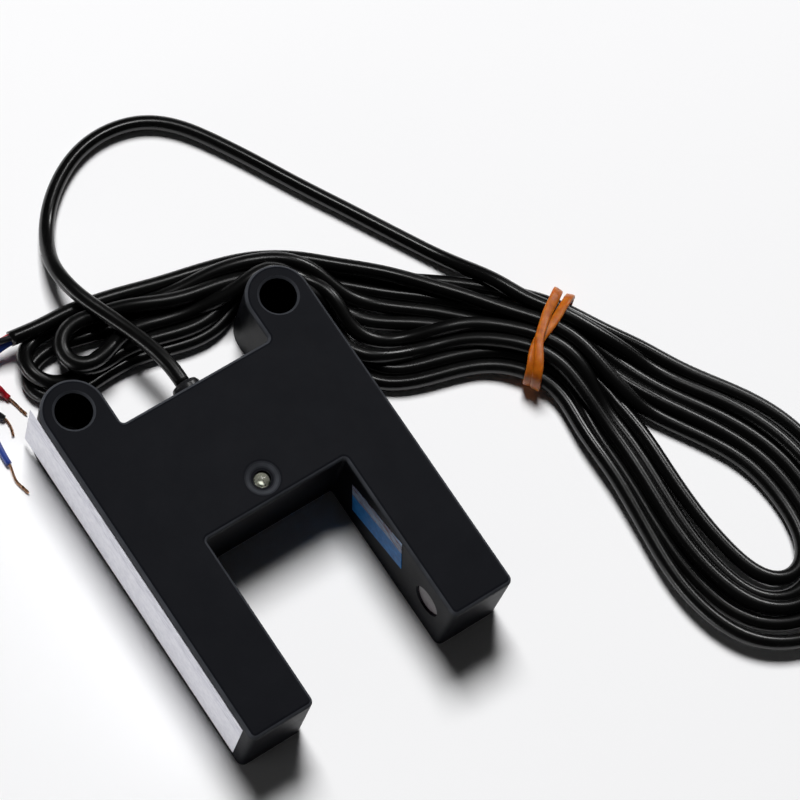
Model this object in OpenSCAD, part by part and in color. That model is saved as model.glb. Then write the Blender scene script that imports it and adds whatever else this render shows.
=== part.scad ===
// U-shaped photoelectric switch: an infrared beam crosses the slot between its two legs.
// The origin is the middle of the body's length and width, on its flat back.
// X runs across the slot, Y from the leg tips to the ears, and Z up to the face with the lamp.

/* [Body] */
// Width over both legs
body_w = 56.6; // [52:0.1:66]
// Length from the leg tips to the tops of the ears
body_len = 74; // [70:0.5:84]
// Thickness from the back to the face
body_h = 17.5; // [16.5:0.1:20]
// Clear width of the slot
slot_w = 30; // [26:0.1:31]
// Depth of the slot from the leg tips
slot_depth = 35.2; // [30:0.1:38]
// Radius of the face's rounded rim
rim_r = 0.9; // [0.4:0.05:1.2]
// Radius of the corners at the leg tips
tip_r = 1.3; // [1.25:0.05:2]
// Radius of the corners at the bottom of the slot
slot_r = 0.6; // [0.4:0.05:1.5]

/* [Ears] */
// Radius of an ear's round end
ear_r = 6.2; // [5.6:0.1:7]
// Depth of the notch between the ears
notch_depth = 12.6; // [11:0.1:15]
// Radius where an ear meets the notch
notch_r = 0.8; // [0.4:0.1:2]
// Bore of a mounting hole
ear_bore = 7; // [5:0.1:7.6]
// Width of the bevel round the mouth of a mounting hole
ear_mouth = 0.45; // [0.2:0.05:0.8]

/* [Shell] */
// Thickness of the side walls
wall = 2; // [1.6:0.1:2.4]
// Thickness of the face
face_t = 2; // [1.6:0.1:2.4]
// Width of the ledge that the back cover sits on
ledge_w = 1; // [0.8:0.05:1.2]
// Thickness of the back cover
cover_t = 1.6; // [1.2:0.1:2]
// Clearance round the back cover
cover_gap = 0.12; // [0.05:0.01:0.2]

/* [Board] */
// Thickness of the printed board
board_t = 1; // [0.8:0.1:1.6]
// Height of the cover's posts under the board
post_h = 3; // [2.5:0.1:3.5]
// Diameter of the cover's posts
post_d = 3; // [2.4:0.1:3.4]
// Gap between the board and the shell's walls
board_gap = 0.5; // [0.3:0.05:0.8]
// Side of the shell's ribs that hold the board down
rib_w = 2.6; // [2:0.1:3]
// Length of a wire's end under the board
lead_tail = 1; // [0.6:0.1:1.4]

/* [Optics] */
// Height of the beam above the back
beam_z = 9.5; // [9:0.1:10]
// Distance of the beam from the leg tips
beam_tip = 6.5; // [6.2:0.1:8]
// Diameter of a lens window
window_d = 6.4; // [5:0.1:7]
// Thickness of a lens window at its rim
window_t = 0.6; // [0.5:0.05:0.8]
// Rise of a lens window's dome
window_rise = 0.35; // [0.2:0.05:0.5]
// Clearance round a lens window
window_gap = 0.05; // [0.03:0.01:0.1]
// Width of the shoulder behind a lens window
window_seat = 0.8; // [0.6:0.1:1]
// Diameter of the emitter's and the receiver's lamp body
lamp_d = 3; // [2.9:0.1:3.2]
// Length of a lamp body from its dome to its base
lamp_len = 5.3; // [5:0.1:5.4]
// Thickness of a lamp's wire leads
lamp_lead = 0.5; // [0.4:0.05:0.6]
// Width of the holder round each lamp
holder_w = 6.4; // [6:0.1:7]

/* [Indicator] */
// Distance of the indicator from the bottom of the slot
lamp_inset = 4.5; // [4.4:0.1:6]
// Top diameter of the countersink round the indicator
dish_d = 7.2; // [6:0.1:8]
// Depth of the countersink
dish_depth = 0.6; // [0.3:0.05:0.8]
// Clearance round the indicator in the face
lamp_gap = 0.15; // [0.1:0.01:0.2]
// Height of the dome's top below the face
lamp_sink = 0.1; // [0:0.05:0.3]

/* [Cable] */
// Diameter of the cable's jacket
cable_d = 2.9; // [2.7:0.1:3]
// Diameter of the bushing's outer collar
bushing_d = 5.6; // [5.2:0.1:6]
// Diameter of the bushing's neck in the wall
bushing_neck_d = 4.4; // [4:0.1:4.8]
// Length of the bushing's outer collar
bushing_len = 2.8; // [2:0.1:3]
// Thickness of the bushing's inner flange
flange_t = 1.2; // [1:0.1:1.5]
// Clearance between the bushing and its hole
bushing_gap = 0.05; // [0.03:0.01:0.1]
// Height of the cable's axis above the back
cable_z = 9.5; // [9.2:0.1:9.8]
// Length of jacket inside the shell
tail_len = 4; // [3:0.5:5]
// Diameter of an insulated conductor
wire_d = 1.2; // [1:0.05:1.3]
// Diameter of a bare twisted end
strand_d = 0.6; // [0.5:0.05:0.8]

/* [Hank] */
// Height of the hank of turns
hank_h = 6; // [5.5:0.1:6.2]
// Width of the hank where the band holds it
neck_w = 18.4; // [17:0.1:19]
// Height of the hank where the band holds it
neck_h = 5.3; // [5:0.1:5.6]
// Width of the rubber band along the cable
band_w = 3.8; // [3:0.1:4.5]
// Thickness of the rubber band
band_t = 1; // [0.8:0.1:1.2]
// Gap between the band and the turns inside it
band_gap = 0.1; // [0.05:0.01:0.2]

/* [Labels] */
// Thickness of a label
label_t = 0.1; // [0.08:0.01:0.15]
// Length of the label on the outer side, whose end stands off the round of the ear
side_label_len = 69.5; // [62:0.5:70]
// Height of the label on the outer side
side_label_h = 14.6; // [13:0.1:15]
// Distance of the outer label from the leg tips
side_label_tip = 2.8; // [2:0.1:5]
// Length of the label in the slot
slot_label_len = 15.4; // [13:0.1:17]
// Height of the label in the slot
slot_label_h = 8.6; // [7:0.1:9]
// Distance of the slot label's middle from the leg tips
slot_label_tip = 22.8; // [21:0.1:24]
// Tilt of the slot label
slot_label_tilt = 15; // [0:1:16]
// Height of the slot label's middle above the back
slot_label_z = 10.3; // [9:0.1:10.6]

/* [Hidden] */

// The body's main lines
x_side = body_w / 2;
x_slot = slot_w / 2;
y_tip = -body_len / 2;
y_top = body_len / 2;
y_slot = y_tip + slot_depth;
y_notch = y_top - notch_depth;
ear_x = x_side - ear_r;
ear_y = y_top - ear_r;
x_ear_in = x_side - 2 * ear_r;
z_roof = body_h - face_t;
leg_x = (x_side + x_slot) / 2;
beam_y = y_tip + beam_tip;

// The board lies on the cover's posts, under the shell's ribs
board_z = cover_t + post_h;
board_top = board_z + board_t;
fit = 0.05;
cable_gap = 0.02;

// The indicator stands on its spacer, with its dome just under the face
lamp_y = y_slot + lamp_inset;
lamp_base = body_h - lamp_sink - lamp_len;
lamp_flange_d = lamp_d + 0.8;
lamp_flange_t = 1;
lead_pitch = 1.27;
lead_hole = lamp_lead * sqrt(2) + 2 * fit;

// The lamps across the slot
window_depth = window_t + window_rise;
window_hole = window_d - 2 * window_seat;
holder_x = x_slot + wall + fit;
holder_len = lamp_len - lamp_flange_t;
holder_top = beam_z + holder_w / 2;
lead_turn = (x_side - wall - board_gap - holder_x - lamp_len) / 2;

// The cable comes out through the middle of the notch
exit_y = y_notch + bushing_len;
flange_d = bushing_d + 0.4;
tail_end = y_notch - wall - flange_t - tail_len;
pad_run = 5;
pad_y = tail_end - pad_run;
pad_pitch = 3;
pad_d = 2.2;
solder_h = 0.5;

// Sizes of the parts on the board
chip = [5, 4, 1.5];
chip_leg = [0.45, 0.9, 0.5];
case_d = 4.6;
case_flat = 1.3;
case_h = 4.6;
case_stand = 2;
case_leg = 0.45;
can_d = 5;
can_h = 7;
can_neck = 0.15;
diode_d = 2.7;
diode_len = 5.2;
diode_span = 9.4;
diode_lead = 0.7;
resistor = [1.2, 2, 0.5];
capacitor = [1.2, 2, 0.9];

facets = 48;
round_facets = 64;
rim_steps = 4;
rim_over = 0.4;

// The body's outline, anticlockwise: the centre, radius, first angle and sweep of each corner.
// A corner that points in is swept backwards.
body_arcs = [
    [[x_slot + tip_r, y_tip + tip_r], tip_r, 180, 90],
    [[x_side - tip_r, y_tip + tip_r], tip_r, 270, 90],
    [[ear_x, ear_y], ear_r, 0, 180],
    [[x_ear_in - notch_r, y_notch + notch_r], notch_r, 0, -90],
    [[-x_ear_in + notch_r, y_notch + notch_r], notch_r, 270, -90],
    [[-ear_x, ear_y], ear_r, 0, 180],
    [[-x_side + tip_r, y_tip + tip_r], tip_r, 180, 90],
    [[-x_slot - tip_r, y_tip + tip_r], tip_r, 270, 90],
    [[-x_slot + slot_r, y_slot - slot_r], slot_r, 180, -90],
    [[x_slot - slot_r, y_slot - slot_r], slot_r, 90, -90]];

function arc_point(a, angle) = a[0] + a[1] * [cos(angle), sin(angle)];

// Mirrors something on the left to the right as well
module both_sides() {
    for (side = [0, 1]) mirror([side, 0, 0]) children();
}

// What a rounded corner at the origin leaves of the square quarter it lies in
module corner_rest(r) {
    difference() {
        square(r);
        translate([r, r]) circle(r = r, $fn = facets);
    }
}

module ear_area() {
    circle(r = ear_r, $fn = round_facets);
    translate([-ear_r, y_notch - ear_y - 1]) square([2 * ear_r, ear_y - y_notch + 1]);
}

module slot_area() {
    difference() {
        translate([-x_slot, y_tip - 1]) square([slot_w, slot_depth + 1]);
        both_sides() translate([-x_slot, y_slot]) mirror([0, 1]) corner_rest(slot_r);
    }
}

module body_area() {
    difference() {
        union() {
            translate([-x_side, y_tip]) square([body_w, y_notch - y_tip]);
            both_sides() {
                translate([-ear_x, ear_y]) ear_area();
                translate([-x_ear_in, y_notch]) corner_rest(notch_r);
            }
        }
        slot_area();
        both_sides() {
            translate([-x_side, y_tip]) corner_rest(tip_r);
            translate([-x_slot, y_tip]) mirror([1, 0]) corner_rest(tip_r);
        }
    }
}

// What rounding the rim takes away: X runs in from the wall and Y up from the face
module rim_waste() {
    polygon(concat([[-rim_over, rim_over], [-rim_over, -rim_r]],
        [for (i = [0:rim_steps]) let(a = 90 * i / rim_steps) rim_r * [1 - cos(a), sin(a) - 1]],
        [[rim_r, rim_over]]));
}

// Rounds one corner of the rim
module rim_corner(a) {
    rotate([0, 0, min(a[2], a[2] + a[3])]) rotate_extrude(angle = abs(a[3]), $fn = facets)
        translate([a[1], 0]) mirror([a[3] > 0 ? 1 : 0, 0]) rim_waste();
}

// Rounds the straight rim from one point to another
module rim_edge(from, to) {
    way = to - from;
    translate(from) rotate([0, 0, atan2(way[1], way[0])]) rotate([90, 0, 90])
        linear_extrude(norm(way)) rim_waste();
}

module body_blank() {
    difference() {
        linear_extrude(body_h) body_area();
        translate([0, 0, body_h]) for (i = [0:len(body_arcs) - 1]) {
            a = body_arcs[i];
            next = body_arcs[(i + 1) % len(body_arcs)];
            translate(a[0]) rim_corner(a);
            rim_edge(arc_point(a, a[2] + a[3]), arc_point(next, next[2]));
        }
    }
}

// The U of the legs and the bridge between them, drawn in from the body's sides by an inset
module u_area(inset) {
    difference() {
        translate([-x_side + inset, y_tip + inset])
            square([body_w - 2 * inset, y_notch - y_tip - 2 * inset]);
        translate([-x_slot - inset, y_tip - 1])
            square([slot_w + 2 * inset, slot_depth + 1 + inset]);
    }
}

// Places something at the four posts: one in each leg and one in each outer corner of the bridge
module at_posts() {
    inset = wall + board_gap + post_d / 2;
    both_sides() for (y = [beam_y + holder_w / 2 + post_d, y_notch - inset])
        translate([x_side - inset, y]) children();
}

// A point on the board, from -1 to 1 across it, and from 0 by the slot to 1 by the notch
function on_bridge(across, along) = [across * (x_side - wall - board_gap),
    y_slot + wall + board_gap + along * (y_notch - y_slot - 2 * (wall + board_gap)), board_top];

// A point on the board in the right leg, from 0 at the bottom of the slot to 1 at the tip
function on_leg(along) = [leg_x, y_slot - along * slot_depth, board_top];

// Places something on the beam, with its X axis pointing from the slot into a leg
module at_leg(side) {
    translate([0, beam_y, beam_z]) rotate([0, 0, side > 0 ? 0 : 180]) children();
}

// Turns an upright round shape to lie along X
module along_x() {
    rotate([0, 90, 0]) children();
}

module housing() {
    color([0.1, 0.11, 0.12]) difference() {
        body_blank();
        shell_pocket();
        translate([0, 0, -1]) linear_extrude(cover_t + 1) u_area(wall - ledge_w);
        both_sides() translate([ear_x, ear_y, 0]) ear_hole();
        translate([0, lamp_y, 0]) lamp_hole();
        for (side = [-1, 1]) at_leg(side) window_opening();
        translate([0, y_notch + 1, cable_z]) rotate([90, 0, 0])
            cylinder(d = bushing_neck_d + 2 * bushing_gap, h = wall + 2, $fn = facets);
    }
}

// The pocket for the electronics, with the ribs that hold the board down left standing
module shell_pocket() {
    difference() {
        translate([0, 0, cover_t / 2]) linear_extrude(z_roof - cover_t / 2) u_area(wall);
        translate([0, 0, board_top + fit]) linear_extrude(body_h) at_posts() rib_area();
    }
}

module rib_area() {
    square([rib_w + wall, rib_w], center = true);
}

module ear_hole() {
    translate([0, 0, -1]) cylinder(d = ear_bore, h = body_h + 2, $fn = round_facets);
    for (end = [0, 1]) translate([0, 0, end * body_h]) mirror([0, 0, end])
        translate([0, 0, -ear_mouth])
            cylinder(d1 = ear_bore + 4 * ear_mouth, d2 = ear_bore, h = 2 * ear_mouth, $fn = round_facets);
}

// The indicator's hole, at the bottom of a dish whose side rises in a soft curve
module lamp_hole() {
    floor_r = lamp_d / 2 + 2 * lamp_gap;
    translate([0, 0, z_roof - 1]) cylinder(d = lamp_d + 2 * lamp_gap, h = face_t + 2, $fn = facets);
    translate([0, 0, body_h]) rotate_extrude($fn = round_facets) polygon(concat(
        [[0, -dish_depth]],
        [for (i = [0:6]) let(t = i / 6)
            [floor_r + (dish_d / 2 - floor_r) * t, -dish_depth * (1 - t * t * (3 - 2 * t))]],
        [[dish_d / 2, 1], [0, 1]]));
}

module window_opening() {
    along_x() {
        translate([0, 0, x_slot - 1])
            cylinder(d = window_d + 2 * window_gap, h = window_depth + 1, $fn = facets);
        translate([0, 0, x_slot]) cylinder(d = window_hole, h = wall + 1, $fn = facets);
    }
}

module base_cover() {
    color([0.12, 0.12, 0.13]) {
        linear_extrude(cover_t) u_area(wall - ledge_w + cover_gap);
        translate([0, 0, cover_t]) linear_extrude(post_h) at_posts() circle(d = post_d, $fn = facets);
    }
}

module cable_bushing() {
    bore = cable_d / 2 + cable_gap;
    color([0.08, 0.08, 0.08]) translate([0, exit_y, cable_z]) rotate([90, 0, 0])
        rotate_extrude($fn = facets) polygon([
            [bore, 0], [bushing_d / 2 - 0.8, 0], [bushing_d / 2 - 0.3, 0.25], [bushing_d / 2, 0.9],
            [bushing_d / 2, bushing_len], [bushing_neck_d / 2, bushing_len],
            [bushing_neck_d / 2, bushing_len + wall], [flange_d / 2, bushing_len + wall],
            [flange_d / 2, bushing_len + wall + flange_t], [bore, bushing_len + wall + flange_t]]);
}

// A domed lamp body standing on its base, with its two leads below
module domed_lamp() {
    r = lamp_d / 2;
    rotate_extrude($fn = facets) polygon(concat(
        [[0, 0], [lamp_flange_d / 2, 0], [lamp_flange_d / 2, lamp_flange_t], [r, lamp_flange_t]],
        [for (i = [0:8]) [r * cos(90 * i / 8), lamp_len - r + r * sin(90 * i / 8)]]));
}

module indicator_lamp() {
    color([0.85, 0.87, 0.86]) translate([0, lamp_y, 0]) {
        translate([0, 0, lamp_base]) domed_lamp();
        for (side = [-1, 1]) translate([side * lead_pitch, 0, (lamp_base + board_z - lead_tail) / 2])
            cube([lamp_lead, lamp_lead, lamp_base - board_z + lead_tail], center = true);
    }
}

module lamp_spacer() {
    color([0.9, 0.9, 0.88]) translate([0, lamp_y, board_top]) difference() {
        cylinder(d = lamp_flange_d, h = lamp_base - board_top, $fn = facets);
        for (side = [-1, 1]) translate([side * lead_pitch, 0, -1])
            cylinder(d = lead_hole, h = body_h, $fn = 24);
    }
}

// A flat disc with a shallow dome towards the slot
module lens_window() {
    r = window_d / 2;
    dome_r = (r * r + window_rise * window_rise) / (2 * window_rise);
    along_x() translate([0, 0, x_slot + window_depth]) mirror([0, 0, 1])
        rotate_extrude($fn = facets) polygon(concat(
            [[0, 0], [r, 0]],
            [for (i = [0:8]) let(a = asin(r / dome_r) * (1 - i / 8))
                [dome_r * sin(a), window_t + window_rise - dome_r + dome_r * cos(a)]]));
}

module emitter_window() {
    color([0.2, 0.2, 0.24]) at_leg(-1) lens_window();
}

module receiver_window() {
    color([0.2, 0.2, 0.24]) at_leg(1) lens_window();
}

// A lamp lying along the beam, with its leads turned down through the board
module beam_lamp() {
    base = holder_x + lamp_len;
    drop = beam_z - board_z + lead_tail;
    translate([base, 0, 0]) rotate([0, -90, 0]) domed_lamp();
    for (side = [-1, 1]) {
        translate([base, side * lead_pitch - lamp_lead / 2, -lamp_lead / 2])
            cube([lead_turn, lamp_lead, lamp_lead]);
        translate([base + lead_turn - lamp_lead, side * lead_pitch - lamp_lead / 2, -drop])
            cube([lamp_lead, lamp_lead, drop]);
    }
}

module infrared_emitter() {
    color([0.55, 0.6, 0.75]) at_leg(-1) beam_lamp();
}

module light_receiver() {
    color([0.12, 0.1, 0.14]) at_leg(1) beam_lamp();
}

// A block on the board, bored for the lamp
module lamp_holder() {
    difference() {
        translate([holder_x, -holder_w / 2, board_top - beam_z])
            cube([holder_len, holder_w, holder_top - board_top]);
        along_x() translate([0, 0, holder_x - 1])
            cylinder(d = lamp_d + 2 * fit, h = lamp_len, $fn = facets);
    }
}

module emitter_holder() {
    color([0.15, 0.15, 0.15]) at_leg(-1) lamp_holder();
}

module receiver_holder() {
    color([0.15, 0.15, 0.15]) at_leg(1) lamp_holder();
}

module main_board() {
    color([0.1, 0.35, 0.2]) difference() {
        translate([0, 0, board_z]) linear_extrude(board_t) u_area(wall + board_gap);
        translate([0, lamp_y, 0]) lead_holes(0);
        for (side = [-1, 1]) translate([0, beam_y, 0]) rotate([0, 0, side > 0 ? 0 : 180])
            translate([holder_x + lamp_len + lead_turn - lamp_lead / 2, 0, 0]) lead_holes(90);
    }
}

module lead_holes(turn) {
    rotate([0, 0, turn]) for (side = [-1, 1]) translate([side * lead_pitch, 0, 0])
        cylinder(d = lead_hole, h = body_h, $fn = 24);
}

// A moulded chip with bent leads on both long sides
module controller_chip() {
    color([0.13, 0.13, 0.13]) translate(on_bridge(-0.46, 0.25)) {
        translate([0, 0, (chip[2] + chip_leg[2]) / 2]) cube(chip, center = true);
        for (side = [-1, 1]) for (i = [-1.5:1:1.5])
            translate([i * lead_pitch, side * (chip[1] + chip_leg[1]) / 2, chip_leg[2] / 2])
                cube(chip_leg, center = true);
    }
}

// A small three-legged case with one flat side
module flat_sided_case() {
    translate([0, 0, case_stand]) linear_extrude(case_h) intersection() {
        circle(d = case_d, $fn = facets);
        translate([-case_d / 2, -case_flat]) square(case_d);
    }
    for (i = [-1:1]) translate([i * lead_pitch, 0, case_stand / 2])
        cube([case_leg, case_leg, case_stand], center = true);
}

module voltage_regulator() {
    color([0.14, 0.14, 0.14]) translate(on_bridge(0.39, 0.2)) flat_sided_case();
}

module output_transistor() {
    color([0.14, 0.14, 0.14]) translate(on_bridge(0.66, 0.2)) flat_sided_case();
}

// An upright can with a crimped neck near its base
module smoothing_capacitor() {
    r = can_d / 2;
    color([0.15, 0.17, 0.3]) translate(on_bridge(-0.79, 0.28)) rotate_extrude($fn = facets)
        polygon([[0, 0], [r, 0], [r, can_h * 0.1], [r - can_neck, can_h * 0.14], [r, can_h * 0.18],
            [r, can_h - can_neck], [r - can_neck, can_h], [0, can_h]]);
}

module protection_diode() {
    color([0.1, 0.1, 0.1]) translate(on_bridge(0.43, 0.5)) {
        translate([0, 0, 2 * diode_lead]) rotate([0, 90, 0]) {
            cylinder(d = diode_d, h = diode_len, center = true, $fn = facets);
            cylinder(d = diode_lead, h = diode_span, center = true, $fn = 24);
        }
        both_sides() translate([(diode_span - diode_lead) / 2, 0, diode_lead])
            cube([diode_lead, diode_lead, 2 * diode_lead], center = true);
    }
}

// A chip part that stands on the board at a point, turned to lie across the leg or the bridge
module chip_part(size, at, turn) {
    translate(at + [0, 0, size[2] / 2]) rotate([0, 0, turn]) cube(size, center = true);
}

module chip_resistors() {
    color([0.1, 0.1, 0.1]) {
        for (i = [0:3]) chip_part(resistor, on_bridge(-0.54 + 0.09 * i, 0.52), 0);
        both_sides() for (along = [0.23, 0.34]) chip_part(resistor, on_leg(along), 90);
    }
}

module chip_capacitors() {
    color([0.65, 0.55, 0.4]) {
        for (i = [0:1]) chip_part(capacitor, on_bridge(-0.21 + 0.09 * i, 0.25), 0);
        both_sides() chip_part(capacitor, on_leg(0.45), 90);
    }
}

// Low domes of solder where the cable's conductors end
module solder_joints() {
    color([0.75, 0.75, 0.78]) for (i = [-1:1]) translate([i * pad_pitch, pad_y, board_top])
        rotate_extrude($fn = 32) polygon([[0, 0], [pad_d / 2, 0], [pad_d * 0.43, solder_h * 0.6],
            [pad_d * 0.32, solder_h], [0, solder_h]]);
}

// The jacket from the bushing's mouth to its cut end inside the shell
module cable_tail() {
    color([0.06, 0.06, 0.06]) translate([0, exit_y, cable_z]) rotate([90, 0, 0])
        cylinder(d = cable_d, h = exit_y - tail_end, $fn = facets);
}

// A tube swept along a route: one ring at each point, square to the way through it
function unit(v) = v / norm(v);
function heading(route, i) = unit(route[min(i + 1, len(route) - 1)] - route[max(i - 1, 0)]);
function tube_ring(p, way, d) = let(
        side = unit(cross(way, abs(way[2]) > 0.99 ? [0, -1, 0] : [0, 0, 1])), up = cross(side, way))
    [for (k = [0:7]) p + d / 2 * (cos(45 * k + 22.5) * side + sin(45 * k + 22.5) * up)];

module tube(route, d) {
    last = len(route) - 1;
    polyhedron(
        points = [for (i = [0:last]) each tube_ring(route[i], heading(route, i), d)],
        faces = concat(
            [[for (k = [0:7]) k]],
            [for (i = [0:last - 1]) for (k = [0:7])
                let(a = 8 * i, b = a + 8, j = (k + 1) % 8) [a + j, a + k, b + k, b + j]],
            [[for (k = [7:-1:0]) 8 * last + k]]),
        convexity = 6);
}

// The three conductors lie in a triangle inside the jacket
function in_jacket(place) = wire_d * [0.52 * place, place == 0 ? 0.6 : -0.3];

// The conductors fan out from the jacket's cut end to their pads
module inner_lead(place) {
    start = in_jacket(place);
    x = place * pad_pitch;
    z = cable_z + start[1];
    tube([[start[0], tail_end, z], [start[0], tail_end - pad_run * 0.16, z],
        [x * 0.55, tail_end - pad_run * 0.48, z - 0.5], [x * 0.9, tail_end - pad_run * 0.84, z - 1.6],
        [x, pad_y, board_top + wire_d + solder_h], [x, pad_y, board_top + solder_h]], wire_d);
}

module inner_lead_red() {
    color([0.75, 0.1, 0.12]) inner_lead(-1);
}

module inner_lead_black() {
    color([0.06, 0.06, 0.06]) inner_lead(0);
}

module inner_lead_blue() {
    color([0.15, 0.25, 0.6]) inner_lead(1);
}

module side_label() {
    color([0.78, 0.78, 0.8])
        translate([-x_side - label_t, y_tip + side_label_tip, (body_h - side_label_h) / 2])
            cube([label_t, side_label_len, side_label_h]);
}

module slot_label() {
    color([0.3, 0.55, 0.8]) translate([x_slot - label_t, y_tip + slot_label_tip, slot_label_z])
        rotate([-slot_label_tilt, 0, 0]) translate([0, -slot_label_len / 2, -slot_label_h / 2])
            cube([label_t, slot_label_len, slot_label_h]);
}

// The cable's route: out of the bushing, over the hank behind the ears, round and back to the hank
lie = cable_d / 2;
free_route = [[0, exit_y, cable_z], [0, exit_y + 3.3, cable_z], [-0.6, 35, 9], [-2, 40.5, 8.1],
    [-4.2, 46.5, 7.6], [-6.3, 51.6, 7.5], [-7.2, 56, 7.1], [-6.8, 60.6, 5.2], [-5, 65, 2.9],
    [-2.1, 69.6, lie], [1.1, 73.1, lie], [4.7, 75.9, lie], [8.9, 78.2, lie], [13.9, 79.6, lie], [19.5, 79.6, lie],
    [24.5, 78.2, lie], [28.2, 75.8, lie], [31, 72.9, lie], [33.4, 69.5, lie], [37.6, 62.6, lie],
    [43.5, 52, lie], [49, 42.6, lie], [54.3, 33.4, lie], [58.16, 26.84, lie], [60.4, 23.2, lie]];

// The far end leaves the hank's rear turn, and its conductors curl back beside the ear
end_route = [[-12.2, 52.3, lie], [-14, 52.3, lie], [-17, 52.7, lie], [-19, 52.8, lie], [-20.2, 52.8, lie]];
red_route = [[-20.2, 53.44, 1.09], [-22.4, 53.44, 1.09], [-25, 53.2, 0.8], [-27.2, 51.8, 0.6],
    [-28.2, 49.8, 1], [-28, 47.6, 2.1], [-27.4, 45.8, 1.9], [-26.8, 44.4, 0.6], [-26.5, 43.6, 0.6]];
black_route = [[-20.2, 52.8, 2.19], [-22.4, 52.8, 2.19], [-25.4, 53.9, 2.6], [-28.4, 54.4, 2.4],
    [-31, 53.2, 1.2], [-32.9, 50.6, 1.2], [-33.4, 47.6, 2], [-32.6, 44.8, 2.4], [-31.1, 43, 2.2],
    [-30, 41.7, 1.2], [-29.4, 40.8, 0.6]];
blue_route = [[-20.2, 52.16, 1.09], [-21.8, 52.16, 1.09], [-23.6, 51.2, 0.7], [-26.2, 48.8, 0.6],
    [-29.4, 44.9, 0.6], [-32, 41, 0.6], [-33, 37, 0.6], [-33.3, 33.5, 0.6], [-33.3, 32.7, 0.6]];
red_bare = [[-26.5, 43.6, 0.6], [-26.3, 43.07, 0.6], [-26, 42, 0.45], [-25.3, 39.3, 0.35]];
black_bare = [[-29.4, 40.8, 0.6], [-29.2, 40.5, 0.47], [-29.1, 39.2, 0.35], [-29.7, 37, 0.35]];
blue_bare = [[-33.3, 32.7, 0.6], [-33.3, 32.1, 0.6], [-33.8, 29.5, 0.4], [-33.3, 26.2, 0.35]];

module cable_free_run() {
    color([0.06, 0.06, 0.06]) tube(free_route, cable_d);
}

module cable_end_run() {
    color([0.06, 0.06, 0.06]) tube(end_route, cable_d);
}

// The hank lies round the right ear in three flat pieces, and the band pinches it between two
band_at = [65.8, 1.6];
band_turn = -54.8;
neck_len = band_w + 0.2;
neck_root = 1;
hank_end_w = neck_w - 1.2;
function at_neck(along, across) = band_at
    + along * [cos(band_turn), sin(band_turn)] + across * [-sin(band_turn), cos(band_turn)];

rear_area = [[-24.5, 47.5], [-24.5, 42], [-21, 37.4], [30, 37.4], [37.5, 40.5], [29, 46], [18, 50.2],
    [6, 52.6], [-4, 53.2], [-12.2, 53.8], [-12.2, 50.8], [-19, 50.6]];
side_area = concat([[30, 37.4], [30, 10], [36, 7], [47.5, 3.6]],
    [at_neck(-neck_len / 2, -hank_end_w / 2), at_neck(-neck_len / 2, hank_end_w / 2)],
    [[67, 15.8], [61.7, 24], [59.1, 22.4], [50.5, 30.5], [43, 36.4], [37.5, 40.5]]);
front_area = concat([at_neck(neck_len / 2, hank_end_w / 2), at_neck(neck_len / 2, -hank_end_w / 2)],
    [[62, -12], [61.2, -22], [58, -31], [55.6, -40], [54.4, -50], [56.4, -61], [61, -70], [70, -76.5],
    [81, -78.5], [92, -75.5], [100, -67.5], [103, -56], [101.6, -43], [97, -30.5], [90, -18.7],
    [83.5, -7.5], [79, 0]]);
front_loop = [[72.6, -24], [70.6, -33], [69.8, -43], [71.6, -52], [75.5, -58.5], [82, -59.5], [85, -54],
    [84.2, -44], [79, -32]];

module cable_hank_rear() {
    color([0.06, 0.06, 0.06]) linear_extrude(hank_h) polygon(rear_area);
}

module cable_hank_side() {
    color([0.06, 0.06, 0.06]) {
        linear_extrude(hank_h) polygon(side_area);
        hank_neck();
    }
}

module cable_hank_front() {
    color([0.06, 0.06, 0.06]) linear_extrude(hank_h) difference() {
        polygon(front_area);
        polygon(front_loop);
    }
}

// A flat bar with round sides
module stadium(w, h) {
    translate([-(w - h) / 2, -h / 2]) square([w - h, h]);
    for (side = [-1, 1]) translate([side * (w - h) / 2, 0]) circle(d = h, $fn = facets);
}

module at_band() {
    translate([band_at[0], band_at[1], band_t + band_gap + neck_h / 2]) rotate([90, 0, band_turn + 90])
        children();
}

module hank_neck() {
    at_band() translate([0, 0, -neck_len / 2 - neck_root])
        linear_extrude(neck_len + neck_root) stadium(neck_w, neck_h);
}

module rubber_band() {
    room = 2 * band_gap;
    color([0.72, 0.45, 0.15]) at_band() translate([0, 0, -band_w / 2]) linear_extrude(band_w) difference() {
        stadium(neck_w + room + 2 * band_t, neck_h + room + 2 * band_t);
        stadium(neck_w + room, neck_h + room);
    }
}

module wire_red() {
    color([0.75, 0.1, 0.15]) tube(red_route, wire_d);
}

module wire_black() {
    color([0.06, 0.06, 0.06]) tube(black_route, wire_d);
}

module wire_blue() {
    color([0.15, 0.25, 0.55]) tube(blue_route, wire_d);
}

module bare_end_red() {
    color([0.7, 0.5, 0.35]) tube(red_bare, strand_d);
}

module bare_end_black() {
    color([0.7, 0.5, 0.35]) tube(black_bare, strand_d);
}

module bare_end_blue() {
    color([0.7, 0.5, 0.35]) tube(blue_bare, strand_d);
}

housing();
base_cover();
cable_bushing();
indicator_lamp();
lamp_spacer();
emitter_window();
receiver_window();
infrared_emitter();
light_receiver();
emitter_holder();
receiver_holder();
main_board();
controller_chip();
voltage_regulator();
output_transistor();
smoothing_capacitor();
protection_diode();
chip_resistors();
chip_capacitors();
solder_joints();
cable_tail();
inner_lead_red();
inner_lead_black();
inner_lead_blue();
side_label();
slot_label();
cable_free_run();
cable_hank_rear();
cable_hank_side();
cable_hank_front();
cable_end_run();
rubber_band();
wire_red();
wire_black();
wire_blue();
bare_end_red();
bare_end_black();
bare_end_blue();
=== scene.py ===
"""The looks of a slotted photoelectric switch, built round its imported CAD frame.

Lengths are millimetres in the frame's axes. MM turns them into Blender's metres.
"""
import math

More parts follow.
